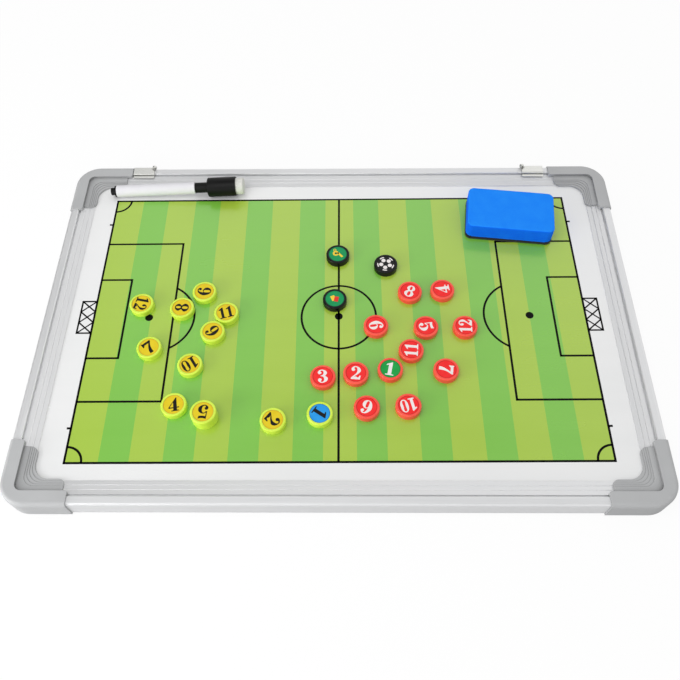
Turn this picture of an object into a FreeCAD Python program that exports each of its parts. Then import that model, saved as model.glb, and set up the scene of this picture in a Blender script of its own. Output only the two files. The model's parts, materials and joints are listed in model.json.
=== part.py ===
"""A magnetic tactics board for team games, with its counters, marker pen and eraser.

Millimetres, +Z up. The board lies on its back. X runs along its long sides and +Y points to the top edge, where
the hanging clips are. The origin is the middle of the underside, on the surface that the corners rest on.
"""

import FreeCAD, Part
import math
import os
from types import SimpleNamespace

import Sketcher

Vector = FreeCAD.Vector

# Driving dimensions: name, size and what it measures
SIZES = [
    ("frame_width", 450, "outside of the rails, left to right"),
    ("frame_depth", 300, "outside of the rails, front to back"),
    ("rail_wall", 1.2, "wall of the extruded rail"),
    ("rail_reach", 18.2, "outside of a rail to the tip of its lip"),
    ("bead_width", 6.6, "hollow outer part of a rail"),
    ("bead_rise", 1.6, "top of the bead above the start of the lip"),
    ("bead_outer_round", 1.8, "outer top edge of the bead"),
    ("bead_inner_round", 0.8, "inner top edge of the bead"),
    ("groove_width", 1.3, "groove between bead and lip"),
    ("groove_depth", 1.2, "groove below the start of the lip"),
    ("lip_rise", 2.6, "start of the lip above the writing face"),
    ("lip_tip", 0.6, "tip of the lip above the writing face"),
    ("lip_notch_width", 0.7, "fine notch along the lip"),
    ("lip_notch_depth", 0.25, "fine notch into the lip"),
    ("face_thick", 0.4, "printed steel face"),
    ("core_thick", 8.8, "fibreboard core"),
    ("back_thick", 0.4, "steel back"),
    ("panel_gap", 0.5, "edge of the panel to the rail's web"),
    ("fit_gap", 0.1, "clearance of pieces pushed into each other"),
    ("corner_floor", 1.2, "corner below the rails"),
    ("corner_roof", 1.2, "corner above the bead"),
    ("corner_side", 1, "corner outside the rails"),
    ("corner_arm", 46.2, "corner along each rail"),
    ("corner_round", 19, "outer corner in plan"),
    ("corner_edge", 3, "outer top edge"),
    ("band_width", 10.8, "raised band round the outside"),
    ("band_round", 5, "inner corner of the band"),
    ("band_end_round", 2, "inner end of the band on each arm"),
    ("flange_over", 0.9, "flange past the tip of the lip"),
    ("flange_short", 4.2, "end of the flange behind the end of the band"),
    ("flange_round", 11, "inner corner of the flange"),
    ("flange_end_round", 5, "inner end of each arm"),
    ("flange_thick", 0.8, "fold of the flange above the start of the lip"),
    ("flange_tip", 1, "inner edge of the flange above the tip of the lip"),
    ("flange_step", 0.25, "fine step down the flange"),
    ("rail_stop", 1.5, "end of a rail to the side of the next rail"),
    ("screw_diameter", 2.2, "shank of a corner screw"),
    ("screw_head", 4.4, "head of a corner screw"),
    ("screw_head_thick", 0.6, "head of a corner screw"),
    ("screw_length", 5.5, "shank of a corner screw"),
    ("cross_length", 2, "cross recess in a screw's head"),
    ("cross_width", 0.7, "slot of the cross recess"),
    ("cross_depth", 0.9, "cross recess in a screw's head"),
    ("screw_place", 32, "screw along the arm, from the outer corner"),
    ("clip_plate", 0.8, "spring plate of a hanging clip"),
    ("clip_gap", 0.15, "clip to rail"),
    ("clip_width", 18, "clip along the rail"),
    ("clip_bend", 1.1, "outside of the clip's bends"),
    ("clip_rim", 2.1, "rear rim below the clip's top"),
    ("clip_foot", 2.8, "foot in front of the clip's bend"),
    ("clip_foot_gap", 0.3, "foot above the start of the rail's lip"),
    ("clip_left_gap", 0.6, "left clip to the end of the corner"),
    ("clip_right_gap", 4.2, "right clip to the end of the corner"),
    ("tongue_width", 9, "tongue down the outside of the rail"),
    ("tongue_reach", 12.5, "tongue below the clip's top"),
    ("eye_diameter", 3.7, "rolled eye at the clip's inner end"),
    ("eye_bore", 2.1, "hole through the eye"),
    ("eye_width", 1.6, "eye along its hole"),
    ("eye_rise", 1.2, "middle of the eye above the clip's top"),
    ("eye_inset", 0.4, "eye from the rail's outer wall"),
    ("counter_diameter", 18.4, "counter"),
    ("counter_rim", 1.8, "rim round the label"),
    ("counter_edge", 0.8, "round outer edge of the rim"),
    ("counter_roof", 1.6, "plastic between magnet and label"),
    ("label_recess", 0.5, "recess for the label"),
    ("label_thick", 0.3, "printed label"),
    ("magnet_diameter", 13.8, "magnet in a counter"),
    ("magnet_thick", 2.8, "magnet in a counter"),
    ("barrel_diameter", 10, "pen barrel"),
    ("barrel_wall", 1, "pen barrel"),
    ("barrel_length", 66.7, "pen barrel"),
    ("plug_length", 5, "tail plug outside the barrel"),
    ("plug_tip_diameter", 6.3, "end of the tail plug"),
    ("plug_flange_diameter", 9.4, "tail plug against the barrel"),
    ("plug_spigot", 7, "tail plug inside the barrel"),
    ("core_gap", 0.3, "ink core to the inside of the barrel"),
    ("holder_depth", 8, "nib holder inside the barrel"),
    ("neck_diameter", 6.6, "neck that the cap pushes onto"),
    ("neck_length", 7, "neck that the cap pushes onto"),
    ("cone_length", 4, "taper from the neck to the nib"),
    ("nib_diameter", 3, "fibre nib"),
    ("nib_out", 4, "nib past the taper"),
    ("nib_wall", 0.8, "taper round the nib, at its end"),
    ("collar_diameter", 8.6, "narrow end of the cap"),
    ("collar_length", 10.8, "narrow end of the cap"),
    ("collar_gap", 0.3, "cap to barrel, and cap round the neck"),
    ("head_diameter", 16, "wide end of the cap"),
    ("head_length", 23.8, "wide end of the cap"),
    ("head_bevel", 0.5, "edges of the cap's wide end"),
    ("nib_room", 3, "room past the nib inside the cap"),
    ("felt_wall", 1.05, "cap round the felt"),
    ("felt_seat", 3, "felt inside the cap"),
    ("felt_out", 6.5, "felt past the cap"),
    ("felt_bevel", 0.6, "end of the felt"),
    ("cap_magnet_diameter", 10, "magnet behind the felt"),
    ("cap_magnet_thick", 4, "magnet behind the felt"),
    ("pen_from_left", 31.5, "tail of the pen from the frame's left"),
    ("pen_from_back", 27, "tail of the pen from the frame's back"),
    ("pen_yaw", 1, "turn of the pen from the rail, in degrees"),
    ("pen_lift", 0.1, "pen clear of the face"),
    ("eraser_length", 69, "eraser"),
    ("eraser_width", 41, "eraser"),
    ("foam_thick", 13, "foam block"),
    ("felt_thick", 3, "felt base"),
    ("felt_over", 0.5, "felt base past the foam, all round"),
    ("eraser_round", 5, "upright corners of the eraser"),
    ("foam_edge", 1.2, "top edge of the foam"),
    ("bar_length", 46, "magnet in the eraser"),
    ("bar_width", 16, "magnet in the eraser"),
    ("bar_thick", 2.4, "magnet in the eraser"),
    ("eraser_from_right", 85.8, "middle of the eraser from the frame's right"),
    ("eraser_from_back", 58.1, "middle of the eraser from the frame's back"),
    ("eraser_yaw", -6.4, "turn of the eraser, in degrees"),
]
LIP_NOTCHES = 2
FLANGE_STEPS = 4
FAR = 100

# Middle of each counter on the face. Yellow 5 stands on yellow 3.
COUNTERS = {
    "yellow_counter_1": (-12.5, -84),
    "yellow_counter_2": (-45.2, -88.8),
    "yellow_counter_3": (-93.5, -85.1),
    "yellow_counter_4": (-116.1, -77.1),
    "yellow_counter_6": (-104.2, 19.9),
    "yellow_counter_7": (-140.3, -30.2),
    "yellow_counter_8": (-119.9, 5),
    "yellow_counter_9": (-94.4, -16.3),
    "yellow_counter_10": (-108.3, -44.6),
    "yellow_counter_11": (-85.5, 0.6),
    "yellow_counter_12": (-151.5, 8.7),
    "red_counter_1": (38, -48.5),
    "red_counter_2": (13, -51.8),
    "red_counter_3": (-10.9, -54.6),
    "red_counter_4": (80.3, 21.4),
    "red_counter_5": (65.8, -12.3),
    "red_counter_6": (28.3, -11.2),
    "red_counter_7": (78.4, -49),
    "red_counter_8": (55.1, 19.7),
    "red_counter_9": (20.5, -79.1),
    "red_counter_10": (49.9, -77.7),
    "red_counter_11": (53.8, -32.5),
    "red_counter_12": (95.2, -12.1),
    "official_counter_1": (-0.9, 55.8),
    "official_counter_2": (-2.9, 12.8),
    "ball_counter": (37.1, 46),
}
STACKED_COUNTER = "yellow_counter_5"
COUNTER_BELOW = "yellow_counter_3"

doc = FreeCAD.newDocument("tactics_board")
sheet = doc.addObject("Spreadsheet::Sheet", "sizes")
for row, (alias, number, meaning) in enumerate(SIZES, start=1):
    sheet.set(f"A{row}", alias)
    sheet.set(f"B{row}", str(number))
    sheet.setAlias(f"B{row}", alias)
    sheet.set(f"C{row}", meaning)
doc.recompute()


class Size:
    """A length with its number and the sheet expression that it comes from."""

    def __init__(self, number, text):
        self.number = float(number)
        self.text = text

    def __float__(self):
        return self.number

    def __add__(self, other):
        return Size(self.number + float(other), f"({self.text} + {text_of(other)})")

    def __radd__(self, other):
        return Size(float(other) + self.number, f"({text_of(other)} + {self.text})")

    def __sub__(self, other):
        return Size(self.number - float(other), f"({self.text} - {text_of(other)})")

    def __rsub__(self, other):
        return Size(float(other) - self.number, f"({text_of(other)} - {self.text})")

    def __mul__(self, other):
        return Size(self.number * float(other), f"({self.text} * {text_of(other)})")

    def __truediv__(self, other):
        return Size(self.number / float(other), f"({self.text} / {text_of(other)})")

    def __neg__(self):
        return Size(-self.number, f"(0 - {self.text})")


def text_of(length):
    return length.text if isinstance(length, Size) else f"{float(length):g}"


size = SimpleNamespace()
for alias, number, meaning in SIZES:
    setattr(size, alias, Size(sheet.get(alias), f"sizes.{alias}"))

# Heights and reaches that follow from the driving dimensions
half_width = size.frame_width / 2
half_depth = size.frame_depth / 2
slot_top = size.rail_wall + size.back_thick + size.core_thick + size.face_thick
lip_top = slot_top + size.lip_rise
rail_height = lip_top + size.bead_rise
panel_edge = size.bead_width + size.panel_gap
panel_bottom = size.corner_floor + size.rail_wall
face_height = size.corner_floor + slot_top
rail_end = size.rail_reach + size.rail_stop
bead_middle = size.bead_width / 2


def bind(item, name, length):
    """Sets a property, and ties it to the sheet where it comes from there."""
    setattr(item, name, float(length))
    if isinstance(length, Size):
        item.setExpression(name, length.text)


def place(item, x, y, z, turn=0.0):
    """Stands an item at a point, turned about the vertical."""
    base = Vector(float(x), float(y), float(z))
    item.Placement = FreeCAD.Placement(base, FreeCAD.Rotation(turn, 0, 0))
    for axis, length in (("x", x), ("y", y), ("z", z)):
        if isinstance(length, Size):
            item.setExpression(f"Placement.Base.{axis}", length.text)
    return item


def new_item(kind, label):
    item = doc.addObject(kind, label)
    item.Label = label
    return item


def new_sketch(body, plane_role, lift=0.0):
    """Makes an empty sketch on one of the body's own planes, lifted along that plane's normal."""
    sketch = body.newObject("Sketcher::SketchObject", f"{body.Name}_sketch")
    plane = next(item for item in body.Origin.OriginFeatures if item.Role == plane_role)
    sketch.AttachmentSupport = (plane, "")
    sketch.MapMode = "FlatFace"
    sketch.AttachmentOffset = FreeCAD.Placement(Vector(0, 0, float(lift)), FreeCAD.Rotation())
    if isinstance(lift, Size):
        sketch.setExpression("AttachmentOffset.Base.z", lift.text)
    return sketch


def hold(sketch, kind, length, *target):
    """Adds one sized constraint, tied to the sheet where its length comes from there."""
    index = sketch.addConstraint(Sketcher.Constraint(kind, *target, float(length)))
    if isinstance(length, Size):
        name = f"{kind.lower()}_{index}"
        sketch.renameConstraint(index, name)
        sketch.setExpression(f"Constraints.{name}", length.text)


def hold_point(sketch, geometry, point, across, up):
    hold(sketch, "DistanceX", across, -1, 1, geometry, point)
    hold(sketch, "DistanceY", up, -1, 1, geometry, point)


def way(start, end):
    """Unit direction from one corner of an outline to the next."""
    run = Vector(float(end[0]) - float(start[0]), float(end[1]) - float(start[1]), 0)
    return run.normalize()


def add_outline(sketch, corners):
    """Draws a closed outline. A corner is (across, up), or (across, up, radius) where two square edges meet."""
    stops = []
    for index, corner in enumerate(corners):
        if len(corner) == 2:
            stops.append((corner[0], corner[1], None))
            continue
        across, up, radius = corner
        way_in = way(corners[index - 1], corner)
        way_out = way(corner, corners[(index + 1) % len(corners)])
        stops.append((across - radius * way_in.x, up - radius * way_in.y, (radius, way_in, way_out)))
        stops.append((across + radius * way_out.x, up + radius * way_out.y, None))
    first = sketch.GeometryCount
    ends = []
    for index, (across, up, bend) in enumerate(stops):
        following = stops[(index + 1) % len(stops)]
        start = Vector(float(across), float(up), 0)
        end = Vector(float(following[0]), float(following[1]), 0)
        if bend is None:
            sketch.addGeometry(Part.LineSegment(start, end), False)
            ends.append((1, 2))
            continue
        radius, way_in, way_out = bend
        centre = start + way_out * float(radius)
        left_turn = way_in.cross(way_out).z > 0
        spokes = [start - centre, end - centre] if left_turn else [end - centre, start - centre]
        angles = [math.atan2(spoke.y, spoke.x) for spoke in spokes]
        circle = Part.Circle(centre, Vector(0, 0, 1), float(radius))
        sketch.addGeometry(Part.ArcOfCircle(circle, *angles), False)
        ends.append((1, 2) if left_turn else (2, 1))
    for index, (across, up, bend) in enumerate(stops):
        following = (index + 1) % len(stops)
        sketch.addConstraint(
            Sketcher.Constraint("Coincident", first + index, ends[index][1], first + following, ends[following][0])
        )
        hold_point(sketch, first + index, ends[index][0], across, up)
        if bend is not None:
            hold(sketch, "Radius", bend[0], first + index)
    return sketch


def add_circle(sketch, across, up, radius):
    circle = Part.Circle(Vector(float(across), float(up), 0), Vector(0, 0, 1), float(radius))
    index = sketch.addGeometry(circle, False)
    hold_point(sketch, index, 3, across, up)
    hold(sketch, "Radius", radius, index)
    return sketch


def pad(body, sketch, length, side="One side", backwards=False):
    feature = body.newObject("PartDesign::Pad", f"{body.Name}_pad")
    feature.Profile = sketch
    feature.SideType = side
    feature.Reversed = backwards
    bind(feature, "Length", length)
    doc.recompute()
    return feature


def pocket(body, sketch, depth, forwards=False):
    """Cuts a sketch into the body, against the sketch's normal or along it, and tests that it removed material."""
    before = body.Shape.Volume
    feature = body.newObject("PartDesign::Pocket", f"{body.Name}_pocket")
    feature.Profile = sketch
    feature.Reversed = forwards
    bind(feature, "Length", depth)
    doc.recompute()
    if body.Shape.Volume >= before:
        raise RuntimeError(f"{feature.Name} cuts nothing")
    return feature


def turned(label, outline, plane_role="XY_Plane", axis="H_Axis"):
    """Makes a turned body from half its section."""
    body = new_item("PartDesign::Body", label)
    sketch = add_outline(new_sketch(body, plane_role), outline)
    feature = body.newObject("PartDesign::Revolution", f"{label}_turned")
    feature.Profile = sketch
    feature.ReferenceAxis = (sketch, [axis])
    feature.Angle = 360
    doc.recompute()
    return body


def copy_of(label, items):
    """A copy of one or more master pieces, as separate solids under one name."""
    copy = new_item("Part::Compound", label)
    copy.Links = items
    return copy


def panel_layer(label, bottom, thick):
    """One flat layer of the panel, from slot to slot."""
    layer = new_item("Part::Box", label)
    bind(layer, "Length", size.frame_width - panel_edge * 2)
    bind(layer, "Width", size.frame_depth - panel_edge * 2)
    bind(layer, "Height", thick)
    return place(layer, panel_edge - half_width, panel_edge - half_depth, bottom)


def rail_section():
    """Outline of a rail: across from the outer wall towards the panel, up from the underside."""
    lip_start = size.bead_width + size.groove_width
    lip_drop = size.lip_rise - size.lip_tip
    lip_run = size.rail_reach - lip_start
    outline = [
        (0, 0),
        (size.rail_reach, 0),
        (size.rail_reach, size.rail_wall),
        (size.bead_width, size.rail_wall),
        (size.bead_width, slot_top),
        (size.rail_reach, slot_top),
        (size.rail_reach, slot_top + size.lip_tip),
    ]
    for notch in range(LIP_NOTCHES, 0, -1):
        share = notch / (LIP_NOTCHES + 1)
        middle = lip_start + lip_run * share
        half = size.lip_notch_width / 2
        slope = lip_drop / lip_run
        height = lip_top - lip_drop * share
        outline.append((middle + half, height - slope * half))
        outline.append((middle, height - size.lip_notch_depth))
        outline.append((middle - half, height + slope * half))
    outline += [
        (lip_start, lip_top),
        (lip_start, lip_top - size.groove_depth),
        (size.bead_width, lip_top - size.groove_depth),
        (size.bead_width, rail_height, size.bead_inner_round),
        (0, rail_height, size.bead_outer_round),
    ]
    return outline


def rail(label, frame_length, x, y, turn):
    """One extruded rail, square at both ends, with a screw hole in its underside near each end."""
    body = new_item("PartDesign::Body", label)
    section = add_outline(new_sketch(body, "YZ_Plane"), rail_section())
    hollow_end = size.bead_width - size.rail_wall
    hollow_top = rail_height - size.rail_wall
    hollow = [
        (size.rail_wall, size.rail_wall),
        (hollow_end, size.rail_wall),
        (hollow_end, hollow_top),
        (size.rail_wall, hollow_top, size.bead_outer_round / 2),
    ]
    add_outline(section, hollow)
    pad(body, section, frame_length - rail_end * 2, side="Symmetric")
    holes = new_sketch(body, "XY_Plane", size.rail_wall)
    for hand in (-1, 1):
        along = (frame_length / 2 - size.screw_place) * hand
        add_circle(holes, along, bead_middle, size.screw_diameter / 2 + size.fit_gap)
    pocket(body, holes, size.rail_wall)
    return place(body, x, y, size.corner_floor, turn)


def rail_tunnel():
    """Room for a rail inside a corner, a little larger than the rail's outside."""
    gap = size.fit_gap
    bottom = size.corner_floor - gap
    tip = size.corner_floor + slot_top + size.lip_tip + gap
    lip = size.corner_floor + lip_top + gap
    top = size.corner_floor + rail_height + gap
    bead = size.bead_width + gap
    lip_start = size.bead_width + size.groove_width
    reach = size.rail_reach + gap
    return [
        (-gap, bottom),
        (reach, bottom),
        (reach, tip),
        (lip_start, lip),
        (bead, lip),
        (bead, top),
        (-gap, top, size.bead_outer_round),
    ]


def outer_top_edges(shape, top, outside):
    """Names the top edges of a corner that run along its outer wall and round its outer corner."""
    names = []
    for index, edge in enumerate(shape.Edges, start=1):
        box = edge.BoundBox
        middle = edge.valueAt((edge.FirstParameter + edge.LastParameter) / 2)
        level = abs(box.ZMin - top) < 1e-6 and abs(box.ZMax - top) < 1e-6
        reaches_wall = abs(box.XMin - outside) < 1e-6 or abs(box.YMin - outside) < 1e-6
        along_wall = min(middle.x, middle.y) < 0.5 * outside or edge.Curve.TypeId == "Part::GeomCircle"
        if level and reaches_wall and along_wall:
            names.append(f"Edge{index}")
    return names


def inside_line(body, start, radius, height):
    """A sketch of all that lies inside a line along both arms of a corner, at a height."""
    outline = [(start, start, radius), (FAR, start), (FAR, FAR), (start, FAR)]
    return add_outline(new_sketch(body, "XY_Plane", height), outline)


def corner(label, x, y, turn):
    """A moulded corner cap: a raised band outside, a sloping flange inside, and a tunnel for each rail."""
    body = new_item("PartDesign::Body", label)
    outside = -size.corner_side
    arm = size.corner_arm
    reach = size.rail_reach + size.flange_over
    top = size.corner_floor + rail_height + size.corner_roof
    band = size.band_width - size.corner_side
    flange_arm = arm - size.flange_short
    ell = [
        (outside, outside, size.corner_round),
        (arm, outside),
        (arm, band, size.band_end_round),
        (flange_arm, band),
        (flange_arm, reach, size.flange_end_round),
        (reach, reach, size.flange_round),
        (reach, flange_arm, size.flange_end_round),
        (band, flange_arm),
        (band, arm, size.band_end_round),
        (outside, arm),
    ]
    block = pad(body, add_outline(new_sketch(body, "XY_Plane"), ell), top)
    edges = outer_top_edges(block.Shape, float(top), float(outside))
    rounded = body.newObject("PartDesign::Fillet", f"{label}_edge")
    rounded.Base = (block, edges)
    bind(rounded, "Radius", size.corner_edge)
    doc.recompute()

    fold = size.corner_floor + lip_top + size.flange_thick
    inner_edge = face_height + size.lip_tip + size.flange_tip
    pocket(body, inside_line(body, band, size.band_round, top), top - fold)
    slope = body.newObject("PartDesign::SubtractiveLoft", f"{label}_slope")
    slope.Profile = inside_line(body, band, size.band_round, fold)
    slope.Sections = [inside_line(body, reach, size.flange_round, inner_edge)]
    slope.Ruled = True
    doc.recompute()
    for step in range(FLANGE_STEPS):
        share = (step + FLANGE_STEPS - 1) / (2 * FLANGE_STEPS - 1)
        start = band + (reach - band) * share
        radius = size.band_round + (size.flange_round - size.band_round) * share
        level = fold - (fold - inner_edge) * share - size.flange_step
        pocket(body, inside_line(body, start, radius, fold), fold - level)

    tunnel = rail_tunnel()
    pocket(body, add_outline(new_sketch(body, "YZ_Plane", rail_end), tunnel), FAR, forwards=True)
    pocket(body, add_outline(new_sketch(body, "XZ_Plane", -rail_end), tunnel), FAR)

    panel_start = panel_edge - size.fit_gap
    room = [(panel_start, panel_start), (FAR, panel_start), (FAR, FAR), (panel_start, FAR)]
    room_height = face_height - panel_bottom + size.fit_gap * 2
    pocket(body, add_outline(new_sketch(body, "XY_Plane", face_height + size.fit_gap), room), room_height)

    places = ((size.screw_place, bead_middle), (bead_middle, size.screw_place))
    bores = new_sketch(body, "XY_Plane", size.corner_floor)
    seats = new_sketch(body, "XY_Plane", size.screw_head_thick + size.fit_gap)
    for along, across in places:
        add_circle(bores, along, across, size.screw_diameter / 2 + size.fit_gap)
        add_circle(seats, along, across, size.screw_head / 2 + size.fit_gap)
    pocket(body, bores, size.corner_floor)
    pocket(body, seats, size.screw_head_thick + size.fit_gap)
    return place(body, x, y, 0, turn)


def corner_screws():
    """Flat cross-head screws that come up through the corners into the rails, two in each corner."""
    head = size.screw_head / 2
    shank = size.screw_diameter / 2
    shoulder = size.screw_head_thick
    tip = shoulder + size.screw_length
    outline = [(0, 0), (head, 0), (head, shoulder), (shank, shoulder), (shank, tip - shank), (0, tip)]
    screw = turned("screw", outline, "XZ_Plane", "V_Axis")
    for along, across in ((size.cross_length, size.cross_width), (size.cross_width, size.cross_length)):
        slot = [
            (along / -2, across / -2),
            (along / 2, across / -2),
            (along / 2, across / 2),
            (along / -2, across / 2),
        ]
        pocket(screw, add_outline(new_sketch(screw, "XY_Plane"), slot), size.cross_depth, forwards=True)
    screws = []
    for hand_x in (-1, 1):
        for hand_y in (-1, 1):
            for from_x, from_y in ((size.screw_place, bead_middle), (bead_middle, size.screw_place)):
                item = copy_of(f"screw_{len(screws) + 1}", [screw])
                place(item, (half_width - from_x) * hand_x, (half_depth - from_y) * hand_y, size.fit_gap)
                screws.append(item)
    return copy_of("corner_screws", screws)


def hanging_clip(label, hand, corner_gap):
    """A bent spring plate over the back rail's bead. Its rolled eye is at the end that faces the board's middle."""
    body = new_item("PartDesign::Body", label)
    gap = size.clip_gap
    plate = size.clip_plate
    inner_top = rail_height + gap
    top = inner_top + plate
    rear = -gap - plate
    front = size.bead_width + gap
    foot_bottom = lip_top + size.clip_foot_gap
    foot_top = foot_bottom + plate
    foot_end = front + plate + size.clip_foot
    foot_round = plate * 0.45
    section = [
        (front, foot_bottom),
        (foot_end, foot_bottom, foot_round),
        (foot_end, foot_top, foot_round),
        (front + plate, foot_top),
        (front + plate, top, size.clip_bend),
        (rear, top, size.clip_bend),
        (rear, top - size.clip_rim),
        (-gap, top - size.clip_rim),
        (-gap, inner_top),
        (front, inner_top),
    ]
    pad(body, add_outline(new_sketch(body, "YZ_Plane"), section), size.clip_width, side="Symmetric")
    half_tongue = size.tongue_width / 2
    low = top - size.tongue_reach
    high = top - size.clip_bend
    round_end = size.tongue_width / 4
    tongue = [
        (-half_tongue, low, round_end),
        (half_tongue, low, round_end),
        (half_tongue, high),
        (-half_tongue, high),
    ]
    pad(body, add_outline(new_sketch(body, "XZ_Plane", gap), tongue), plate)
    eye = new_sketch(body, "XZ_Plane", -size.eye_inset)
    inner_end = size.clip_width / 2 * hand
    for diameter in (size.eye_diameter, size.eye_bore):
        add_circle(eye, inner_end, top + size.eye_rise, diameter / 2)
    pad(body, eye, size.eye_width, backwards=True)
    middle = half_width - size.corner_arm - corner_gap - size.clip_width / 2
    return place(body, middle * hand, half_depth, size.corner_floor, 180)


def counter_masters():
    """The three pieces of a counter: moulded cup, magnet in its underside, printed label in its top."""
    radius = size.counter_diameter / 2
    socket = size.magnet_diameter / 2 + size.fit_gap
    socket_depth = size.magnet_thick + size.fit_gap
    floor = socket_depth + size.counter_roof
    top = floor + size.label_recess
    recess = radius - size.counter_rim
    outline = [
        (socket, 0),
        (radius, 0),
        (radius, top, size.counter_edge),
        (recess, top),
        (recess, floor),
        (0, floor),
        (0, socket_depth),
        (socket, socket_depth),
    ]
    cup = turned("counter_cup", outline, "XZ_Plane", "V_Axis")
    magnet = new_item("Part::Cylinder", "counter_magnet")
    bind(magnet, "Radius", size.magnet_diameter / 2)
    bind(magnet, "Height", size.magnet_thick)
    label = new_item("Part::Cylinder", "counter_label")
    bind(label, "Radius", recess - size.fit_gap)
    bind(label, "Height", size.label_thick)
    place(label, 0, 0, floor)
    return [cup, magnet, label], top


def counters():
    """All counters on the face, and one on top of another."""
    masters, height = counter_masters()
    nodes = []
    for label, (x, y) in COUNTERS.items():
        nodes.append(place(copy_of(label, masters), x, y, face_height))
    x, y = COUNTERS[COUNTER_BELOW]
    nodes.append(place(copy_of(STACKED_COUNTER, masters), x, y, face_height + height))
    return nodes


def pen():
    """The marker pen, along its axis from the tail, lying on its barrel's tail end and the cap's wide end."""
    barrel = size.barrel_diameter / 2
    bore = barrel - size.barrel_wall
    inside = bore - size.fit_gap
    barrel_start = size.plug_length
    barrel_end = barrel_start + size.barrel_length
    spigot_end = barrel_start + size.plug_spigot
    holder_start = barrel_end - size.holder_depth
    neck = size.neck_diameter / 2
    neck_end = barrel_end + size.neck_length
    cone_end = neck_end + size.cone_length
    nib = size.nib_diameter / 2
    nib_end = cone_end + size.nib_out
    nib_hole = nib + size.fit_gap / 2
    core_end = holder_start - size.fit_gap
    cap_start = barrel_end + size.collar_gap
    head_start = cap_start + size.collar_length
    head_end = head_start + size.head_length
    head = size.head_diameter / 2
    collar = size.collar_diameter / 2
    cap_bore = neck + size.collar_gap
    cap_bore_end = nib_end + size.nib_room
    felt = head - size.felt_wall
    felt_start = head_end - size.felt_seat
    felt_end = head_end + size.felt_out
    magnet = size.cap_magnet_diameter / 2
    magnet_start = felt_start - size.cap_magnet_thick - size.fit_gap
    bevel = size.head_bevel

    pieces = [
        turned(
            "pen_tail_plug",
            [
                (0, 0),
                (0, size.plug_tip_diameter / 2),
                (barrel_start / 2, size.plug_tip_diameter / 2),
                (barrel_start * 0.7, size.plug_flange_diameter / 2),
                (barrel_start, size.plug_flange_diameter / 2),
                (barrel_start, inside),
                (spigot_end, inside),
                (spigot_end, 0),
            ],
        ),
        turned(
            "pen_barrel",
            [(barrel_start, bore), (barrel_start, barrel), (barrel_end, barrel), (barrel_end, bore)],
        ),
        turned(
            "pen_ink_core",
            [
                (spigot_end, 0),
                (spigot_end, bore - size.core_gap),
                (core_end, bore - size.core_gap),
                (core_end, 0),
            ],
        ),
        turned(
            "pen_nib_holder",
            [
                (holder_start, nib_hole),
                (holder_start, inside),
                (barrel_end, inside),
                (barrel_end, neck),
                (neck_end, neck),
                (cone_end, nib_hole + size.nib_wall),
                (cone_end, nib_hole),
            ],
        ),
        turned(
            "pen_nib",
            [(holder_start, 0), (holder_start, nib), (nib_end - nib, nib), (nib_end, nib / 3), (nib_end, 0)],
        ),
        turned(
            "pen_cap",
            [
                (cap_start, cap_bore),
                (cap_start, collar),
                (head_start, collar),
                (head_start, head - bevel),
                (head_start + bevel, head),
                (head_end - bevel, head),
                (head_end, head - bevel),
                (head_end, felt),
                (felt_start, felt),
                (felt_start, magnet + size.fit_gap),
                (magnet_start, magnet + size.fit_gap),
                (magnet_start, 0),
                (cap_bore_end, 0),
                (cap_bore_end, cap_bore),
            ],
        ),
        turned(
            "pen_cap_magnet",
            [
                (magnet_start, 0),
                (magnet_start, magnet),
                (magnet_start + size.cap_magnet_thick, magnet),
                (magnet_start + size.cap_magnet_thick, 0),
            ],
        ),
        turned(
            "pen_cap_felt",
            [
                (felt_start, 0),
                (felt_start, felt - size.fit_gap),
                (felt_end - size.felt_bevel, felt - size.fit_gap),
                (felt_end, felt - size.fit_gap - size.felt_bevel),
                (felt_end, 0),
            ],
        ),
    ]
    # The wide end lifts the axis, so the pen slopes down to the tail end of its barrel
    slope = math.atan2(float(head - barrel), float(head_start + bevel - barrel_start))
    rest = float(barrel) * math.cos(slope) - float(barrel_start) * math.sin(slope)
    tail = Vector(
        float(size.pen_from_left - half_width),
        float(half_depth - size.pen_from_back),
        float(face_height + size.pen_lift) + rest,
    )
    turn = FreeCAD.Rotation(float(size.pen_yaw), -math.degrees(slope), 0)
    for piece in pieces:
        piece.Placement = FreeCAD.Placement(tail, turn)
    return pieces


def eraser_plan(over):
    """Outline of the eraser from above, grown by a margin."""
    across = size.eraser_length / 2 + over
    up = size.eraser_width / 2 + over
    radius = size.eraser_round + over
    return [(-across, -up, radius), (across, -up, radius), (across, up, radius), (-across, up, radius)]


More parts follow.
